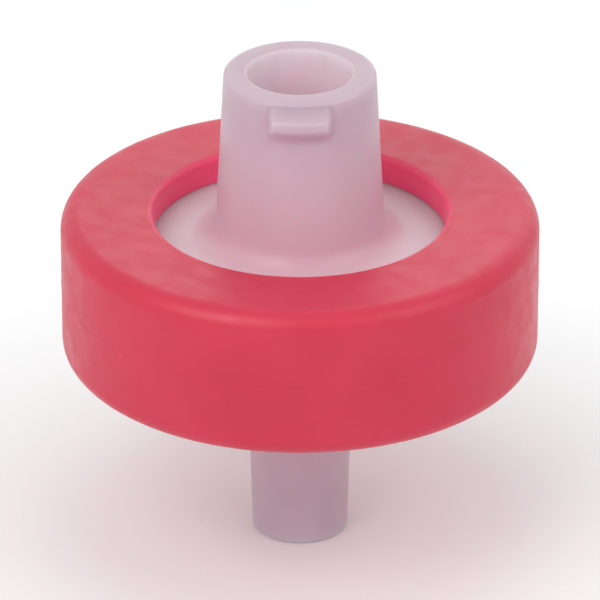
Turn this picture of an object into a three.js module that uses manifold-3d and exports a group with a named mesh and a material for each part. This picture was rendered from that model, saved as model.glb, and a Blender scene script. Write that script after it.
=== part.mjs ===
// A disposable syringe filter, in millimetres, with +Z up.
// Two moulded halves clamp a membrane disc between them, and a ring moulded over their flanges
// holds them together. The inlet hub with its luer socket points up, the outlet's luer tip down.
// The flow axis is the Z axis, and the origin is the middle of the flat end of the outlet tip.

import * as THREE from "three";
import { mergeVertices, toCreasedNormals } from "three/addons/utils/BufferGeometryUtils.js";
import Module from "manifold-3d";

// ---- Driving dimensions ----

// Membrane and the joint that holds it
const MEMBRANE_DIAMETER = 13;
const MEMBRANE_THICKNESS = 0.2;
const POCKET_CLEARANCE = 0.1; // radial play round the membrane's edge
const CLAMP_WIDTH = 0.8; // radial width of the membrane's edge that the halves clamp
const JOINT_WIDTH = 1.2; // radial width of the halves' joint, outside the membrane

// Plates and chambers of the two halves
const PLATE_THICKNESS = 1.65;
const INLET_CHAMBER_DEPTH = 0.3; // from the membrane to the inlet plate
const OUTLET_CHAMBER_DEPTH = 0.2; // from the membrane to the outlet plate

// Luer fittings
const LUER_TAPER = 0.06; // change of diameter for each unit of length
const SOCKET_MOUTH_DIAMETER = 4.3;
const SOCKET_FLOOR = 0.4; // wall between the socket's floor and the inlet chamber
const SOCKET_MOUTH_CHAMFER = 0.15;
const INLET_HOLE_DIAMETER = 2.4;
const HUB_HEIGHT = 7.4; // from the inlet plate to the hub's rim
const HUB_WALL = 0.95; // at the rim
const HUB_SPREAD = 0.4; // how much further out the hub's wall stands at its foot
const HUB_FILLET = 1.1; // where the hub meets the inlet plate
const HUB_RIM_ROUNDING = 0.2;
const LUG_REACH = 0.8; // beyond the hub's rim
const LUG_WIDTH = 2.4;
const LUG_ROOT_SETBACK = 0.2; // from the hub's rim down to a lug's upper face, at the hub's wall
const LUG_TIP_SETBACK = 0.55; // from the hub's rim down to a lug's upper face, at its tip
const LUG_TIP_THICKNESS = 0.4;
const LUG_UNDERCUT = 0.6; // how much lower a lug's underside is at the hub's wall than at its tip
const TIP_LENGTH = 9.4; // from the outlet plate to the tip's end
const TIP_END_DIAMETER = 3.95;
const TIP_END_CHAMFER = 0.12;
const TIP_BORE_DIAMETER = 1.8;
const TIP_FILLET = 0.8; // where the tip meets the outlet plate

// Ring moulded over the flanges, and the window it leaves round each fitting
const RING_WALL = 2; // radial thickness outside the flanges
const RING_EDGE_RADIUS = 0.8;
const RING_GAP = 0.02; // radial gap between the ring and the halves
const LIP_THICKNESS = 1.2; // of the ring above and below the flanges
const LIP_REACH = 1.8; // how far the lips come in over the flanges
const LIP_EDGE_RADIUS = 0.25;

// Ribs on both sides of the membrane
const RIB_WIDTH = 0.4;
const RIB_START = 0.4; // from the hole's edge to the ribs' inner ends
const INLET_RIB_COUNT = 8;
const INLET_RIB_CLEARANCE = 0.1; // between the inlet ribs and the membrane
const OUTLET_RIB_COUNT = 12;

// Making of the meshes
const ROUND_SEGMENTS = 72;
const ARC_STEPS = 4;
const ROOT_DEPTH = 0.1; // how far a lug or rib is sunk into what carries it
const CREASE_ANGLE = THREE.MathUtils.degToRad(30);

// ---- Radii and levels that follow from them ----

const membraneRadius = MEMBRANE_DIAMETER / 2;
const pocketRadius = membraneRadius + POCKET_CLEARANCE;
const flangeRadius = pocketRadius + JOINT_WIDTH;
const chamberRadius = membraneRadius - CLAMP_WIDTH;
const ringRadius = flangeRadius + RING_GAP + RING_WALL;
const windowRadius = flangeRadius + RING_GAP - LIP_REACH;

const outletPlateBase = TIP_LENGTH;
const outletFloor = outletPlateBase + PLATE_THICKNESS;
const jointPlane = outletFloor + OUTLET_CHAMBER_DEPTH;
const membraneTop = jointPlane + MEMBRANE_THICKNESS;
const inletCeiling = membraneTop + INLET_CHAMBER_DEPTH;
const inletPlateTop = inletCeiling + PLATE_THICKNESS;
const hubTop = inletPlateTop + HUB_HEIGHT;
const ringBase = outletPlateBase - LIP_THICKNESS;
const ringTop = inletPlateTop + LIP_THICKNESS;

const socketMouthRadius = SOCKET_MOUTH_DIAMETER / 2;
const hubRimRadius = socketMouthRadius + HUB_WALL;
const hubFootRadius = hubRimRadius + HUB_SPREAD;
const boreRadius = TIP_BORE_DIAMETER / 2;

// ---- Solids ----

const wasm = await Module();
wasm.setup();

function solidFrom(geometry) {
  const bare = new THREE.BufferGeometry();
  bare.setAttribute("position", geometry.getAttribute("position"));
  bare.setIndex(geometry.getIndex());
  const merged = mergeVertices(bare);
  return new wasm.Manifold(
    new wasm.Mesh({
      numProp: 3,
      vertProperties: merged.getAttribute("position").array,
      triVerts: new Uint32Array(merged.getIndex().array),
    }),
  );
}

function geometryFrom(solid) {
  const { vertProperties, triVerts } = solid.getMesh();
  const geometry = new THREE.BufferGeometry();
  geometry.setAttribute("position", new THREE.BufferAttribute(vertProperties, 3));
  geometry.setIndex(new THREE.BufferAttribute(triVerts, 1));
  return toCreasedNormals(geometry, CREASE_ANGLE);
}

// A closed outline of [radius, height] pairs, turned round the Z axis. It runs up its outer side
// and down its inner side, and one that meets the axis starts and ends there.
function revolve(outline) {
  const points = outline.map(([radius, height]) => new THREE.Vector2(radius, height));
  if (points[0].x > 0) points.push(points[0].clone());
  return solidFrom(new THREE.LatheGeometry(points, ROUND_SEGMENTS).rotateX(Math.PI / 2));
}

// Points of an arc, with its angles in degrees from the outward direction, positive upwards.
function arc([centreRadius, centreHeight], radius, from, to) {
  return Array.from({ length: ARC_STEPS + 1 }, (_, step) => {
    const angle = THREE.MathUtils.degToRad(from + ((to - from) * step) / ARC_STEPS);
    return [centreRadius + radius * Math.cos(angle), centreHeight + radius * Math.sin(angle)];
  });
}

// Bars that run out from the axis to the chamber's wall, evenly spaced round it.
function ribs(count, start, base, top) {
  const end = chamberRadius + ROOT_DEPTH;
  const band = revolve([
    [start, base],
    [end, base],
    [end, top],
    [start, top],
  ]);
  const bars = Array.from({ length: count }, (_, index) => {
    const bar = new THREE.BoxGeometry(flangeRadius, RIB_WIDTH, 3 * (top - base));
    bar.translate(flangeRadius / 2, 0, (base + top) / 2);
    return solidFrom(bar.rotateZ((index / count) * 2 * Math.PI));
  }).reduce((joined, bar) => joined.add(bar));
  return band.intersect(bars);
}

// ---- Pieces ----

function inletHousing() {
  const socketFloor = inletCeiling + SOCKET_FLOOR;
  const socketFloorRadius = socketMouthRadius - (LUER_TAPER / 2) * (hubTop - socketFloor);
  const fillet = Math.min(HUB_FILLET, windowRadius - hubFootRadius);
  const rounding = Math.min(HUB_RIM_ROUNDING, HUB_WALL / 3);
  const chamfer = Math.min(SOCKET_MOUTH_CHAMFER, HUB_WALL / 3);
  const holeRadius = INLET_HOLE_DIAMETER / 2;

  const body = revolve([
    [pocketRadius, jointPlane],
    [flangeRadius, jointPlane],
    [flangeRadius, inletPlateTop],
    ...arc([hubFootRadius + fillet, inletPlateTop + fillet], fillet, 270, 180),
    ...arc([hubRimRadius - rounding, hubTop - rounding], rounding, 0, 90),
    [socketMouthRadius + chamfer, hubTop],
    [socketMouthRadius, hubTop - chamfer],
    [socketFloorRadius, socketFloor],
    [holeRadius, socketFloor],
    [holeRadius, inletCeiling],
    [chamberRadius, inletCeiling],
    [chamberRadius, membraneTop],
    [pocketRadius, membraneTop],
  ]);

  // These ribs spread the flow and keep the membrane off the hole.
  const ribBase = membraneTop + INLET_RIB_CLEARANCE;
  const spreaders = ribs(INLET_RIB_COUNT, holeRadius + RIB_START, ribBase, inletCeiling + ROOT_DEPTH);
  return body.add(lugs()).add(spreaders);
}

// Two lugs on opposite sides of the hub, sloping on both faces, cut from one ring of that section.
function lugs() {
  const root = hubRimRadius - ROOT_DEPTH;
  const tip = hubRimRadius + LUG_REACH;
  const tipTop = hubTop - LUG_TIP_SETBACK;
  const tipBase = tipTop - LUG_TIP_THICKNESS;
  const share = (tip - root) / LUG_REACH;
  const ring = revolve([
    [root, tipBase - LUG_UNDERCUT * share],
    [tip, tipBase],
    [tip, tipTop],
    [root, tipTop + (LUG_TIP_SETBACK - LUG_ROOT_SETBACK) * share],
  ]);
  const slab = new THREE.BoxGeometry(LUG_WIDTH, 4 * tip, 2 * HUB_HEIGHT);
  return ring.intersect(solidFrom(slab.translate(0, 0, hubTop)));
}

function outletHousing() {
  const tipEndRadius = TIP_END_DIAMETER / 2;
  const tipFootRadius = tipEndRadius + (LUER_TAPER / 2) * TIP_LENGTH;
  const fillet = Math.min(TIP_FILLET, windowRadius - tipFootRadius);
  const endChamfer = Math.min(TIP_END_CHAMFER, (tipEndRadius - boreRadius) / 3);

  const body = revolve([
    [boreRadius, 0],
    [tipEndRadius - endChamfer, 0],
    [tipEndRadius, endChamfer],
    ...arc([tipFootRadius + fillet, outletPlateBase - fillet], fillet, 180, 90),
    [flangeRadius, outletPlateBase],
    [flangeRadius, jointPlane],
    [chamberRadius, jointPlane],
    [chamberRadius, outletFloor],
    [boreRadius, outletFloor],
  ]);

  // These ribs carry the membrane, and the flow runs between them to the bore.
  const ribBase = outletFloor - ROOT_DEPTH;
  return body.add(ribs(OUTLET_RIB_COUNT, boreRadius + RIB_START, ribBase, jointPlane));
}

function membraneDisc() {
  return revolve([
    [0, jointPlane],
    [membraneRadius, jointPlane],
    [membraneRadius, membraneTop],
    [0, membraneTop],
  ]);
}

function overmoldRing() {
  const edge = Math.min(RING_EDGE_RADIUS, RING_WALL);
  const lipEdge = Math.min(LIP_EDGE_RADIUS, LIP_THICKNESS / 2);
  const grooveRadius = flangeRadius + RING_GAP;
  return revolve([
    ...arc([ringRadius - edge, ringBase + edge], edge, 270, 360),
    ...arc([ringRadius - edge, ringTop - edge], edge, 0, 90),
    ...arc([windowRadius + lipEdge, ringTop - lipEdge], lipEdge, 90, 180),
    [windowRadius, inletPlateTop],
    [grooveRadius, inletPlateTop],
    [grooveRadius, outletPlateBase],
    [windowRadius, outletPlateBase],
    ...arc([windowRadius + lipEdge, ringBase + lipEdge], lipEdge, 180, 270),
  ]);
}

// ---- The model ----

const naturalPolypropylene = { color: "#e3d5d9", roughness: 0.35, metalness: 0 };
const coralPolypropylene = { color: "#d64a5e", roughness: 0.45, metalness: 0 };
const whiteMembrane = { color: "#f4f2ef", roughness: 0.9, metalness: 0 };

function piece(name, solid, look) {
  const mesh = new THREE.Mesh(geometryFrom(solid), new THREE.MeshStandardMaterial(look));
  mesh.name = name;
  return mesh;
}

const syringeFilter = new THREE.Group();
syringeFilter.add(
  piece("inlet_housing", inletHousing(), naturalPolypropylene),
  piece("outlet_housing", outletHousing(), naturalPolypropylene),
  piece("membrane", membraneDisc(), whiteMembrane),
  piece("overmold_ring", overmoldRing(), coralPolypropylene),
);

export default syringeFilter;
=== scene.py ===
from math import asin, ceil, cos, pi, radians, sin, sqrt, tan

import bmesh
import bpy
from mathutils import Matrix, Vector


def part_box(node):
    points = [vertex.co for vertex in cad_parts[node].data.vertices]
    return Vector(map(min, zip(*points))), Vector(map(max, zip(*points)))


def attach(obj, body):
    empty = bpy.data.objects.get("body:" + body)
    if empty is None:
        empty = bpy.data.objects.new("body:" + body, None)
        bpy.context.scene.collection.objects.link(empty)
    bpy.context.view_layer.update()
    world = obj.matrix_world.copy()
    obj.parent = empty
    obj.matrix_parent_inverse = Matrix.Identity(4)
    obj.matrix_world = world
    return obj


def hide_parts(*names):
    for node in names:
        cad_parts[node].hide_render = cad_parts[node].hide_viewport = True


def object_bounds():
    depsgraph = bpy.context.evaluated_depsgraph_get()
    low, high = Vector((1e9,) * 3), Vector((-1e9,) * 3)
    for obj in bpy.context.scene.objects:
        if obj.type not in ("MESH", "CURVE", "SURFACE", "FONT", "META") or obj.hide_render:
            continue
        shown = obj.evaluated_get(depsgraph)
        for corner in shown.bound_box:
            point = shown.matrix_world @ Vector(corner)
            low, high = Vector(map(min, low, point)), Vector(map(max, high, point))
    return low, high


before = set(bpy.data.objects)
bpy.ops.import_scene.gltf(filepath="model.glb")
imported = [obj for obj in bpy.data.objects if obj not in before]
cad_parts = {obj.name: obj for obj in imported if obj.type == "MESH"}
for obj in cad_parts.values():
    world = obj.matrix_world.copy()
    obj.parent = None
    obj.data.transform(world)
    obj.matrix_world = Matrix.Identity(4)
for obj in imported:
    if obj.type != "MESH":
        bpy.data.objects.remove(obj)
cad_low, cad_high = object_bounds()

MM = 0.001  # a millimetre, in metres

# ---- Sizes, in millimetres, the unit that the pieces are drawn in ----


def node_box(node):
    return [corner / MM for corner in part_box(node)]


# Places that the frame gives
inlet_low, inlet_high = node_box("inlet_housing")
outlet_low, outlet_high = node_box("outlet_housing")
ring_low, ring_high = node_box("overmold_ring")
membrane_low, membrane_high = node_box("membrane")

FLANGE_RADIUS = inlet_high.x
RING_RADIUS = ring_high.x
MEMBRANE_RADIUS = membrane_high.x
HUB_TOP = inlet_high.z
JOINT_PLANE = inlet_low.z
TIP_END = outlet_low.z

# Plates, chambers and ring
PLATE_THICKNESS = 1.65
INLET_CHAMBER_DEPTH = 0.3
OUTLET_CHAMBER_DEPTH = 0.2
CLAMP_WIDTH = 0.8
POCKET_CLEARANCE = 0.1
LIP_REACH = 1.8
RING_GAP = 0.02
RING_EDGE = 0.8
LIP_EDGE = 0.25
PARTING_RIDGE = 0.012  # where the two halves of the ring's mould met
PARTING_WIDTH = 0.09

# Luer fittings
LUER_SLOPE = 0.03  # radius for each unit of length
SOCKET_MOUTH_RADIUS = 2.15
SOCKET_FLOOR = 0.4
INLET_HOLE_RADIUS = 1.2
HUB_WALL = 0.95
HUB_SPREAD = 0.4
HUB_FILLET = 1.1
HUB_ROUNDING = 0.2
MOUTH_ROUNDING = 0.12
LUG_REACH = 0.8
LUG_HALF_WIDTH = 1.2
LUG_TIP_THICKNESS = 0.4
LUG_UNDERCUT = 0.6
LUG_TIP_SETBACK = 0.55  # below the hub's rim
LUG_ROUNDING = 0.14
LUG_SIDE = 0.3  # width over which a lug's side rises from the hub's wall
LUG_SECTION_START = 0.72  # as a share of the way up the hub's wall
SOCKET_FLOOR_ROUNDING = 0.15
TIP_END_RADIUS = 1.975
TIP_ROUNDING = 0.12
TIP_FILLET = 0.8
BORE_RADIUS = 0.9
SMALL_EDGE = 0.05  # the least rounding of a moulded edge

# Ribs
RIB_WIDTH = 0.4
RIB_START = 0.4  # from the hole's edge
INLET_RIB_COUNT = 8
INLET_RIB_CLEARANCE = 0.1
OUTLET_RIB_COUNT = 12
OUTLET_RIB_CLEARANCE = 0.01
ROOT = 0.1  # how far a rib is sunk into its plate

# Fineness
COLUMNS = 240  # round a turned piece
LUG_COLUMNS = 10  # across each side of a lug
LUG_COLUMN_REACH = 0.65  # of those columns to each side, as a share of LUG_SIDE
LUG_COLUMN_MARGIN = 0.8  # from a side to the even columns, as a share of LUG_SIDE
ARC_STEP = radians(12)
SHARP = radians(35)
MERGE = 1e-5
FACE_WEIGHT = 60  # how strongly large faces pull the smooth shading

# Surface texture: the sizes of its blotches, and the depth of its broad waves
WAVE_SIZE = 2.4
WAVE_DEPTH = 0.02
GLOSS_SIZE = 0.9
CLOUD_SIZE = 3.5
FIBRE_SIZE = 0.12

# Colours, as linear red, green and blue
CORAL_DEEP = (0.60, 0.018, 0.057)
CORAL_LIGHT = (0.64, 0.025, 0.069)
# Painted light: the ring pinker and lighter at the window, for light through the pale plates
CORAL_PAINTED_LIGHT_AT_WINDOW = (1.00, 0.085, 0.215)
# Painted light: the plate lighter towards the window, against the shade of the ring's lip
PLATE_AT_HUB = (0.90, 0.63, 0.71)
PLATE_PAINTED_LIGHT_AT_WINDOW = (0.96, 0.80, 0.86)
# Painted light: the hub's wall pinker and lighter at its foot, where the ring's red light falls;
# darker and greyer towards the rim
WALL_PAINTED_RING_LIGHT_AT_FOOT = (0.84, 0.59, 0.69)
WALL_AT_RIM = (0.65, 0.49, 0.57)
# Painted light: paler inside the socket, against the shade in the bore
SOCKET_PAINTED_LIGHT_INSIDE = (0.93, 0.74, 0.80)
MEMBRANE_DEEP = (0.84, 0.83, 0.81)
MEMBRANE_LIGHT = (0.90, 0.895, 0.88)

# Studio
WORLD_LIGHT = 0.68
FLOOR_GAP = 0.01  # under the tip
FLOOR_RADIUS = 800
FLOOR_COLUMNS = 96
FLOOR_SHADE = 0.93
SHADOW_FULL = 9  # distance from the tip within which the floor shows all of the shadow
SHADOW_END = 24  # and beyond which it shows white
LAMPS = [  # name, azimuth and elevation in degrees, distance and size in metres, and power
    ("key", -38, 40, 0.16, 0.10, 0.085),
    ("fill", 62, 38, 0.20, 0.12, 0.060),
    ("back", 165, 34, 0.18, 0.16, 0.040),
]
CAMERA_ELEVATION = radians(27)
CAMERA_LENS = 400
CAMERA_SENSOR = 36
VIEW_WIDTH = 1.26  # as a share of the ring's width

# Places that follow
WINDOW_RADIUS = FLANGE_RADIUS + RING_GAP - LIP_REACH
POCKET_RADIUS = MEMBRANE_RADIUS + POCKET_CLEARANCE
CHAMBER_RADIUS = MEMBRANE_RADIUS - CLAMP_WIDTH
OUTLET_FLOOR = JOINT_PLANE - OUTLET_CHAMBER_DEPTH
OUTLET_BASE = OUTLET_FLOOR - PLATE_THICKNESS
MEMBRANE_TOP = membrane_high.z
INLET_CEILING = MEMBRANE_TOP + INLET_CHAMBER_DEPTH
PLATE_TOP = INLET_CEILING + PLATE_THICKNESS
HUB_RIM_RADIUS = SOCKET_MOUTH_RADIUS + HUB_WALL
HUB_FOOT_RADIUS = HUB_RIM_RADIUS + HUB_SPREAD


# ---- Mesh tools ----

def rounded(corners):
    """Points of a closed outline. A corner is (radius, height) or (radius, height, rounding)."""
    points = []
    for index, (x, y, *rounding) in enumerate(corners):
        corner = Vector((x, y))
        inward = (corner - Vector(corners[index - 1][:2])).normalized()
        onward = (Vector(corners[(index + 1) % len(corners)][:2]) - corner).normalized()
        turn = inward.angle_signed(onward, 0)
        if not rounding or abs(turn) < radians(1):
            points.append(corner)
            continue
        radius = rounding[0]
        start = corner - inward * radius * tan(abs(turn) / 2)
        side = Vector((inward.y, -inward.x)) * (radius if turn > 0 else -radius)
        steps = max(2, ceil(abs(turn) / ARC_STEP))
        for step in range(steps + 1):
            spoke = -side
            spoke.rotate(Matrix.Rotation(-turn * step / steps, 2))
            points.append(start + side + spoke)
    return points


def loft(name, loops, closed):
    """A mesh through equal loops of points. Open ones get a flat face at each end."""
    made = bmesh.new()
    rows = [[made.verts.new(point) for point in loop] for loop in loops]
    for index in range(len(rows) if closed else len(rows) - 1):
        here, there = rows[index], rows[(index + 1) % len(rows)]
        for place in range(len(here)):
            onward = (place + 1) % len(here)
            made.faces.new((here[place], here[onward], there[onward], there[place]))
    if not closed:
        made.faces.new(rows[0])
        made.faces.new(rows[-1])
    bmesh.ops.remove_doubles(made, verts=made.verts, dist=MERGE)
    loose = [edge for edge in made.edges if not edge.link_faces]
    bmesh.ops.delete(made, geom=loose, context="EDGES")
    bmesh.ops.recalc_face_normals(made, faces=made.faces)
    piece = bpy.data.objects.new(name, bpy.data.meshes.new(name))
    made.to_mesh(piece.data)
    made.free()
    bpy.context.scene.collection.objects.link(piece)
    return piece


def turned(name, outline, angles=None):
    """An outline of (radius, height) points turned round the Z axis."""
    angles = angles or [2 * pi * column / COLUMNS for column in range(COLUMNS)]
    loops = [[(r * cos(a), r * sin(a), z) for r, z in outline] for a in angles]
    return loft(name, loops, closed=True)


def unite(piece, additions):
    """Joins other solids, which don't meet each other, to a piece."""
    joined = bmesh.new()
    for item in additions:
        joined.from_mesh(item.data)
    joined.to_mesh(additions[0].data)
    joined.free()
    union = piece.modifiers.new("union", "BOOLEAN")
    union.operation = "UNION"
    union.solver = "MANIFOLD"
    union.object = additions[0]
    evaluated = piece.evaluated_get(bpy.context.evaluated_depsgraph_get())
    made = bmesh.new()
    made.from_mesh(evaluated.data)
    bmesh.ops.remove_doubles(made, verts=made.verts, dist=MERGE)
    piece.modifiers.clear()
    made.to_mesh(piece.data)
    made.free()
    for item in additions:
        bpy.data.objects.remove(item)


def finish_surface(piece):
    """Scales a finished piece to metres, and shades it smooth apart from its sharp edges."""
    piece.data.transform(Matrix.Scale(MM, 4))
    piece.data.shade_smooth()
    piece.data.set_sharp_from_angle(angle=SHARP)
    weighted = piece.modifiers.new("weighted_normals", "WEIGHTED_NORMAL")
    weighted.keep_sharp = True
    weighted.weight = FACE_WEIGHT


# ---- Pieces ----

def lug_outline(wall_bottom, wall_top):
    """The section of a lug, from the hub's wall under it to the wall above it."""
    top = HUB_TOP - LUG_TIP_SETBACK
    tip = HUB_RIM_RADIUS + LUG_REACH
    root = HUB_RIM_RADIUS
    corners = [
        (*wall_bottom,),
        (root, top - LUG_TIP_THICKNESS - LUG_UNDERCUT, LUG_ROUNDING * 3),
        (tip, top - LUG_TIP_THICKNESS, LUG_ROUNDING),
        (tip, top, LUG_ROUNDING),
        (*wall_top,),
        (0, HUB_TOP),
    ]
    return rounded(corners)[:-1]


def lug_share(angle):
    """1 within a lug and 0 beyond it, with a smooth rise between."""
    reach = abs(HUB_RIM_RADIUS * cos(angle))
    rise = (LUG_HALF_WIDTH + LUG_SIDE / 2 - reach) / LUG_SIDE
    rise = min(max(rise, 0), 1)
    return rise * rise * (3 - 2 * rise)


def hub_angles():
    """Columns round the hub, closer together where the sides of the lugs rise."""
    half = pi / 2 - asin(LUG_HALF_WIDTH / HUB_RIM_RADIUS)
    spread = LUG_SIDE / HUB_RIM_RADIUS
    sides = [half, pi - half, pi + half, 2 * pi - half]
    fine = [
        side + spread * LUG_COLUMN_REACH * (2 * step / (LUG_COLUMNS - 1) - 1)
        for side in sides
        for step in range(LUG_COLUMNS)
    ]
    even = [2 * pi * column / COLUMNS for column in range(COLUMNS)]
    keep = [a for a in even if all(abs(a - side) > spread * LUG_COLUMN_MARGIN for side in sides)]
    return sorted(keep + fine)


def along(points):
    """Each point's share of the way along a path."""
    lengths = [0.0]
    for before, after in zip(points, points[1:]):
        lengths.append(lengths[-1] + (after - before).length)
    return [length / lengths[-1] for length in lengths]


def inlet_half():
    socket_floor = INLET_CEILING + SOCKET_FLOOR
    socket_floor_radius = SOCKET_MOUTH_RADIUS - LUER_SLOPE * (HUB_TOP - socket_floor)
    outline = rounded([
        (POCKET_RADIUS, JOINT_PLANE),
        (FLANGE_RADIUS, JOINT_PLANE),
        (FLANGE_RADIUS, PLATE_TOP),
        (HUB_FOOT_RADIUS, PLATE_TOP, HUB_FILLET),
        (HUB_RIM_RADIUS, HUB_TOP, HUB_ROUNDING),
        (SOCKET_MOUTH_RADIUS, HUB_TOP, MOUTH_ROUNDING),
        (socket_floor_radius, socket_floor, SOCKET_FLOOR_ROUNDING),
        (INLET_HOLE_RADIUS, socket_floor, SMALL_EDGE),
        (INLET_HOLE_RADIUS, INLET_CEILING, SMALL_EDGE),
        (CHAMBER_RADIUS, INLET_CEILING, SMALL_EDGE),
        (CHAMBER_RADIUS, MEMBRANE_TOP, SMALL_EDGE),
        (POCKET_RADIUS, MEMBRANE_TOP),
    ])
    # The long edge up the hub's wall takes the points of a lug's section
    half_hub = (HUB_TOP - PLATE_TOP) / 2
    foot = next(
        index for index, point in enumerate(outline)
        if point.y - outline[index - 1].y > half_hub and point.x > SOCKET_MOUTH_RADIUS
    )
    low, high = outline[foot - 1], outline[foot]
    base = low.lerp(high, LUG_SECTION_START)
    lug = lug_outline(base, high)
    wall = [base.lerp(high, share) for share in along(lug)]
    plain = outline[:foot] + wall + outline[foot + 1:]
    raised = outline[:foot] + lug + outline[foot + 1:]

    def place(flat, lifted, angle):
        share = lug_share(angle)
        radius = flat.x + (lifted.x - flat.x) * share
        height = flat.y + (lifted.y - flat.y) * share
        x = flat.x * cos(angle)
        y = sqrt(max(radius * radius - x * x, 0))
        return (x, y if sin(angle) >= 0 else -y, height)

    loops = [[place(p, q, a) for p, q in zip(plain, raised)] for a in hub_angles()]
    piece = loft("inlet_half", loops, closed=True)
    foot = INLET_CEILING + ROOT
    crest = MEMBRANE_TOP + INLET_RIB_CLEARANCE
    unite(piece, ribs(INLET_RIB_COUNT, INLET_HOLE_RADIUS + RIB_START, foot, crest))
    return piece


def ribs(count, start, foot, crest):
    """Bars that run out to the chamber's wall, from a foot sunk in the plate to a round crest."""
    half = RIB_WIDTH / 2
    section = rounded([
        (-half, foot), (-half, crest, half / 2), (half, crest, half / 2), (half, foot),
    ])
    bars = []
    for index in range(count):
        angle = 2 * pi * index / count
        loops = [
            [(r * cos(angle) - s * sin(angle), r * sin(angle) + s * cos(angle), z)
             for s, z in section]
            for r in (start, CHAMBER_RADIUS + ROOT)
        ]
        bars.append(loft("rib", loops, closed=False))
    return bars


def outlet_half():
    tip_foot = TIP_END_RADIUS + LUER_SLOPE * (OUTLET_BASE - TIP_END)
    piece = turned("outlet_half", rounded([
        (BORE_RADIUS, TIP_END, SMALL_EDGE),
        (TIP_END_RADIUS, TIP_END, TIP_ROUNDING),
        (tip_foot, OUTLET_BASE, TIP_FILLET),
        (FLANGE_RADIUS, OUTLET_BASE),
        (FLANGE_RADIUS, JOINT_PLANE),
        (CHAMBER_RADIUS, JOINT_PLANE, SMALL_EDGE),
        (CHAMBER_RADIUS, OUTLET_FLOOR, SMALL_EDGE),
        (BORE_RADIUS, OUTLET_FLOOR, SMALL_EDGE),
    ]))
    foot = OUTLET_FLOOR - ROOT
    crest = JOINT_PLANE - OUTLET_RIB_CLEARANCE
    unite(piece, ribs(OUTLET_RIB_COUNT, BORE_RADIUS + RIB_START, foot, crest))
    return piece


def membrane_disc():
    """The membrane and its backing, as one plain disc."""
    low, high = membrane_low.z, membrane_high.z
    return turned("membrane_disc", rounded([
        (0, low),
        (MEMBRANE_RADIUS, low, SMALL_EDGE),
        (MEMBRANE_RADIUS, high, SMALL_EDGE),
        (0, high),
    ]))


def coral_ring():
    groove = FLANGE_RADIUS + RING_GAP
    low, high = ring_low.z, ring_high.z
    middle = (low + high) / 2
    return turned("coral_ring", rounded([
        (RING_RADIUS, low, RING_EDGE),
        (RING_RADIUS, middle - PARTING_WIDTH / 2, PARTING_WIDTH / 4),
        (RING_RADIUS + PARTING_RIDGE, middle, PARTING_WIDTH / 4),
        (RING_RADIUS, middle + PARTING_WIDTH / 2, PARTING_WIDTH / 4),
        (RING_RADIUS, high, RING_EDGE),
        (WINDOW_RADIUS, high, LIP_EDGE),
        (WINDOW_RADIUS, PLATE_TOP),
        (groove, PLATE_TOP),
        (groove, OUTLET_BASE),
        (WINDOW_RADIUS, OUTLET_BASE),
        (WINDOW_RADIUS, low, LIP_EDGE),
    ]))


# ---- Materials ----

def add(tree, kind, inputs=None, **settings):
    """A shader node, with its inputs set to values or linked to other nodes' outputs."""
    made = tree.nodes.new("ShaderNode" + kind)
    for name, value in settings.items():
        setattr(made, name, value)
    for name, value in (inputs or {}).items():
        if isinstance(value, bpy.types.NodeSocket):
            tree.links.new(value, made.inputs[name])
        else:
            made.inputs[name].default_value = value
    return made


def blank(name):
    material = bpy.data.materials.new(name)
    material.use_nodes = True
    material.node_tree.nodes.clear()
    return material, material.node_tree


def colour_mix(tree, share, first, second):
    mix = add(tree, "Mix", data_type="RGBA")
    tree.links.new(share, mix.inputs["Factor"])
    for socket, value in (("A", first), ("B", second)):
        target = next(i for i in mix.inputs if i.name == socket and i.type == "RGBA")
        if isinstance(value, bpy.types.NodeSocket):
            tree.links.new(value, target)
        else:
            target.default_value = (*value, 1)
    return next(o for o in mix.outputs if o.type == "RGBA")


def mottle(tree, place, size, detail=2.0):
    """Soft noise whose blotches are about that size, in millimetres."""
    inputs = {"Vector": place, "Scale": 1 / (size * MM), "Detail": detail}
    return add(tree, "TexNoise", inputs).outputs["Fac"]


def spread(tree, value, low, high, start=0.35, end=0.65):
    """A value's range from start to end, spread from low to high."""
    inputs = {"Value": value, "From Min": start, "From Max": end, "To Min": low, "To Max": high}
    return add(tree, "MapRange", inputs).outputs["Result"]


def moulded_plastic(name, colour, roughness, grain, **surface):
    """Moulded plastic. Colour is given by a function of the tree and the place, roughness is the
    range over the surface, and grain the size and depth of the mould's fine texture, in mm."""
    material, tree = blank(name)
    place = add(tree, "TexCoord").outputs["Object"]
    fine = mottle(tree, place, grain[0], detail=3.0)
    broad = mottle(tree, place, WAVE_SIZE, detail=1.0)
    waves = add(tree, "Bump", {"Height": broad, "Distance": WAVE_DEPTH * MM, "Strength": 1.0})
    bump = add(tree, "Bump", {
        "Height": fine, "Distance": grain[1] * MM, "Normal": waves.outputs["Normal"],
    })
    blotches = mottle(tree, place, GLOSS_SIZE)
    shader = add(tree, "BsdfPrincipled", {
        "Base Color": colour(tree, place),
        "Roughness": spread(tree, blotches, *roughness),
        "Normal": bump.outputs["Normal"],
        **surface,
    })
    out = add(tree, "OutputMaterial")
    tree.links.new(shader.outputs["BSDF"], out.inputs["Surface"])
    return material


def ramp(tree, value, stops):
    """A colour that follows a value, in millimetres, through stops of (value, colour)."""
    first, last = stops[0][0], stops[-1][0]
    share = spread(tree, value, 0, 1, first * MM, last * MM)
    node = add(tree, "ValToRGB", {"Fac": share})
    points = node.color_ramp.elements
    while len(points) < len(stops):
        points.new(1)
    for point, (at, colour) in zip(points, stops):
        point.position = (at - first) / (last - first)
        point.color = (*colour, 1)
    return node.outputs["Color"]


def from_axis(tree, place):
    """Distance from the Z axis."""
    across = add(tree, "VectorMath", {0: place, 1: (1, 1, 0)}, operation="MULTIPLY")
    length = add(tree, "VectorMath", {0: across.outputs["Vector"]}, operation="LENGTH")
    return length.outputs["Value"]


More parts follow.
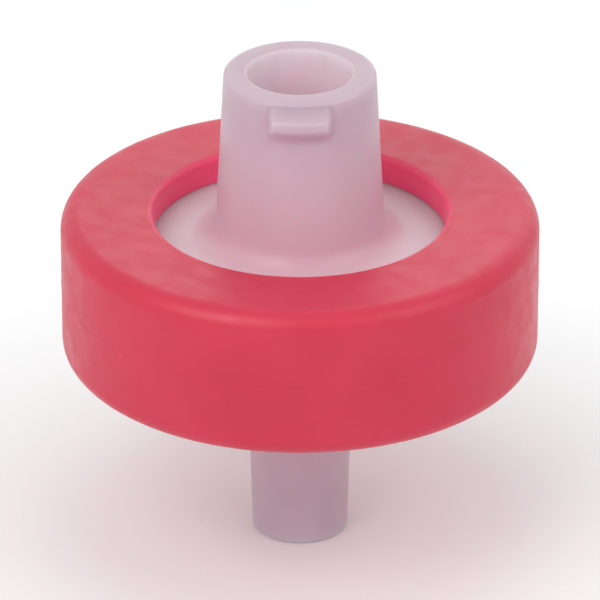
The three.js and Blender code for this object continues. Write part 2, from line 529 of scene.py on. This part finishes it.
def coral_colour(tree, place):
    """Painted pinker and lighter at the windows, for light that comes through the pale plates."""
    cloud = spread(tree, mottle(tree, place, CLOUD_SIZE), 0, 1)
    coral = colour_mix(tree, cloud, CORAL_DEEP, CORAL_LIGHT)
    # Painted light on the lip at the window's edge
    window = spread(
        tree, from_axis(tree, place), 1, 0, WINDOW_RADIUS * MM, (WINDOW_RADIUS + LIP_EDGE) * MM,
    )
    return colour_mix(tree, window, coral, CORAL_PAINTED_LIGHT_AT_WINDOW)


def natural_colour(tree, place):
    """Milky, with painted light: pinker near the ring for its red glow, paler in the socket."""
    height = add(tree, "SeparateXYZ", {"Vector": place}).outputs["Z"]
    middle = (PLATE_TOP + OUTLET_BASE) / 2 * MM
    away = add(tree, "Math", {0: height, 1: middle}, operation="SUBTRACT").outputs["Value"]
    away = add(tree, "Math", {0: away}, operation="ABSOLUTE").outputs["Value"]
    face = (PLATE_TOP - OUTLET_BASE) / 2
    radius = from_axis(tree, place)
    # Painted light: the plate grows lighter towards the window, against the lip's shade
    plate = ramp(tree, radius, [
        (HUB_FOOT_RADIUS, PLATE_AT_HUB),
        (WINDOW_RADIUS, PLATE_PAINTED_LIGHT_AT_WINDOW),
    ])
    # Painted light: pinker and lighter at the foot from the ring's red light, darker and greyer
    # towards the rim
    wall = ramp(tree, away, [
        (face + HUB_FILLET, WALL_PAINTED_RING_LIGHT_AT_FOOT),
        (face + HUB_TOP - PLATE_TOP, WALL_AT_RIM),
    ])
    rise = spread(tree, away, 0, 1, face * MM, (face + HUB_FILLET) * MM)
    outside = colour_mix(tree, rise, plate, wall)
    # Painted light: the socket's inside paler, against the shade in the bore
    narrow = spread(
        tree, radius, 1, 0,
        SOCKET_MOUTH_RADIUS * MM, (SOCKET_MOUTH_RADIUS + MOUTH_ROUNDING) * MM,
    )
    above = spread(tree, height, 0, 1, INLET_CEILING * MM, PLATE_TOP * MM)
    inside = add(tree, "Math", {0: narrow, 1: above}, operation="MULTIPLY").outputs["Value"]
    return colour_mix(tree, inside, outside, SOCKET_PAINTED_LIGHT_INSIDE)


def membrane_colour(tree, place):
    fibres = spread(tree, mottle(tree, place, FIBRE_SIZE, detail=4.0), 0, 1)
    return colour_mix(tree, fibres, MEMBRANE_DEEP, MEMBRANE_LIGHT)


def coral_polypropylene():
    return moulded_plastic(
        "coral_polypropylene", coral_colour, (0.34, 0.46), (0.07, 0.004),
        **{
            "Subsurface Weight": 0.25,
            "Subsurface Radius": (1.0, 0.25, 0.25),
            "Subsurface Scale": 0.6 * MM,
            "IOR": 1.49,
        },
    )


def natural_polypropylene():
    return moulded_plastic(
        "natural_polypropylene", natural_colour, (0.31, 0.40), (0.05, 0.0012),
        **{
            "Subsurface Weight": 1.0,
            "Subsurface Radius": (0.7, 0.9, 0.9),
            "Subsurface Scale": 2.0 * MM,
            "Transmission Weight": 0.25,
            "IOR": 1.49,
        },
    )


def white_membrane():
    return moulded_plastic(
        "white_membrane", membrane_colour, (0.85, 0.97), (0.03, 0.008),
        **{"IOR": 1.35},
    )


# ---- Studio ----

def background_rays(tree):
    """1 for rays that see the background: from the camera, in gloss, and through glass."""
    rays = add(tree, "LightPath").outputs
    seen = rays["Is Camera Ray"]
    for other in ("Is Glossy Ray", "Is Transmission Ray"):
        seen = add(tree, "Math", {0: seen, 1: rays[other]}, operation="MAXIMUM").outputs["Value"]
    return seen


def studio_world():
    world = bpy.data.worlds.new("studio")
    world.use_nodes = True
    tree = world.node_tree
    tree.nodes.clear()
    light = add(tree, "Background", {"Color": (1, 1, 1, 1), "Strength": WORLD_LIGHT})
    white = add(tree, "Background", {"Color": (1, 1, 1, 1), "Strength": 1.0})
    mix = add(tree, "MixShader", {
        0: background_rays(tree), 1: light.outputs[0], 2: white.outputs[0],
    })
    out = add(tree, "OutputWorld")
    tree.links.new(mix.outputs[0], out.inputs["Surface"])
    bpy.context.scene.world = world


def floor_material():
    """Pale, with the object's shadow near it, and white further out. It is clear where seen from
    below, and under the tip's flat end, so that light reaches that end."""
    material, tree = blank("pale_floor")
    place = add(tree, "TexCoord").outputs["Object"]
    distance = add(tree, "VectorMath", {0: place}, operation="LENGTH").outputs["Value"]
    far = spread(tree, distance, 0, 1, SHADOW_FULL * MM, SHADOW_END * MM)
    share = add(
        tree, "Math", {0: far, 1: background_rays(tree)}, operation="MULTIPLY",
    ).outputs["Value"]
    pale = add(tree, "BsdfDiffuse", {"Color": (FLOOR_SHADE, FLOOR_SHADE, FLOOR_SHADE, 1)})
    white = add(tree, "Emission", {"Color": (1, 1, 1, 1), "Strength": 1.0})
    lit = add(tree, "MixShader", {0: share, 1: pale.outputs[0], 2: white.outputs[0]})
    clear = add(tree, "BsdfTransparent")
    below = add(tree, "NewGeometry").outputs["Backfacing"]
    covered = add(
        tree, "Math", {0: distance, 1: (TIP_END_RADIUS - TIP_ROUNDING) * MM}, operation="LESS_THAN",
    ).outputs["Value"]
    open_part = add(tree, "Math", {0: below, 1: covered}, operation="MAXIMUM").outputs["Value"]
    mix = add(tree, "MixShader", {0: open_part, 1: lit.outputs[0], 2: clear.outputs[0]})
    out = add(tree, "OutputMaterial")
    tree.links.new(mix.outputs[0], out.inputs["Surface"])
    return material


def studio_floor():
    made = bmesh.new()
    bmesh.ops.create_circle(
        made, cap_ends=True, segments=FLOOR_COLUMNS, radius=FLOOR_RADIUS * MM,
    )
    mesh = bpy.data.meshes.new("floor")
    made.to_mesh(mesh)
    made.free()
    floor = bpy.data.objects.new("floor", mesh)
    floor.location.z = (TIP_END - FLOOR_GAP) * MM
    mesh.materials.append(floor_material())
    bpy.context.scene.collection.objects.link(floor)


def softbox(name, azimuth, elevation, distance, size, power):
    """A square lamp that faces the object. Azimuth 0 is the camera's side, 90 the right."""
    lamp = bpy.data.lights.new(name, "AREA")
    lamp.shape = "SQUARE"
    lamp.size = size
    lamp.energy = power
    holder = bpy.data.objects.new(name, lamp)
    a, e = radians(azimuth), radians(elevation)
    away = Vector((sin(a) * cos(e), -cos(a) * cos(e), sin(e)))
    target = (cad_low + cad_high) / 2
    holder.location = target + away * distance
    holder.rotation_euler = (-away).to_track_quat("-Z", "Y").to_euler()
    bpy.context.scene.collection.objects.link(holder)


def camera():
    """Looks down on the filter at the angle at which its ring is best seen."""
    lens = bpy.data.cameras.new("camera")
    lens.lens = CAMERA_LENS
    lens.sensor_width = CAMERA_SENSOR
    lens.clip_start = 0.005
    lens.clip_end = 5
    holder = bpy.data.objects.new("camera", lens)
    width = VIEW_WIDTH * (cad_high.x - cad_low.x)
    distance = width * lens.lens / lens.sensor_width
    back = Vector((0, -cos(CAMERA_ELEVATION), sin(CAMERA_ELEVATION)))
    target = (cad_low + cad_high) / 2
    holder.location = target + back * distance
    holder.rotation_euler = (-back).to_track_quat("-Z", "Y").to_euler()
    bpy.context.scene.collection.objects.link(holder)
    bpy.context.scene.camera = holder


# ---- The scene ----

def dress(piece, node, material):
    """The piece takes a CAD node's place, with its material."""
    piece.data.materials.clear()
    piece.data.materials.append(material)
    finish_surface(piece)
    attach(piece, "root")
    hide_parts(node)


camera()
natural = natural_polypropylene()
dress(inlet_half(), "inlet_housing", natural)
dress(outlet_half(), "outlet_housing", natural)
dress(membrane_disc(), "membrane", white_membrane())
dress(coral_ring(), "overmold_ring", coral_polypropylene())

studio_world()
studio_floor()
for lamp in LAMPS:
    softbox(*lamp)

bpy.context.scene.view_settings.view_transform = "Standard"
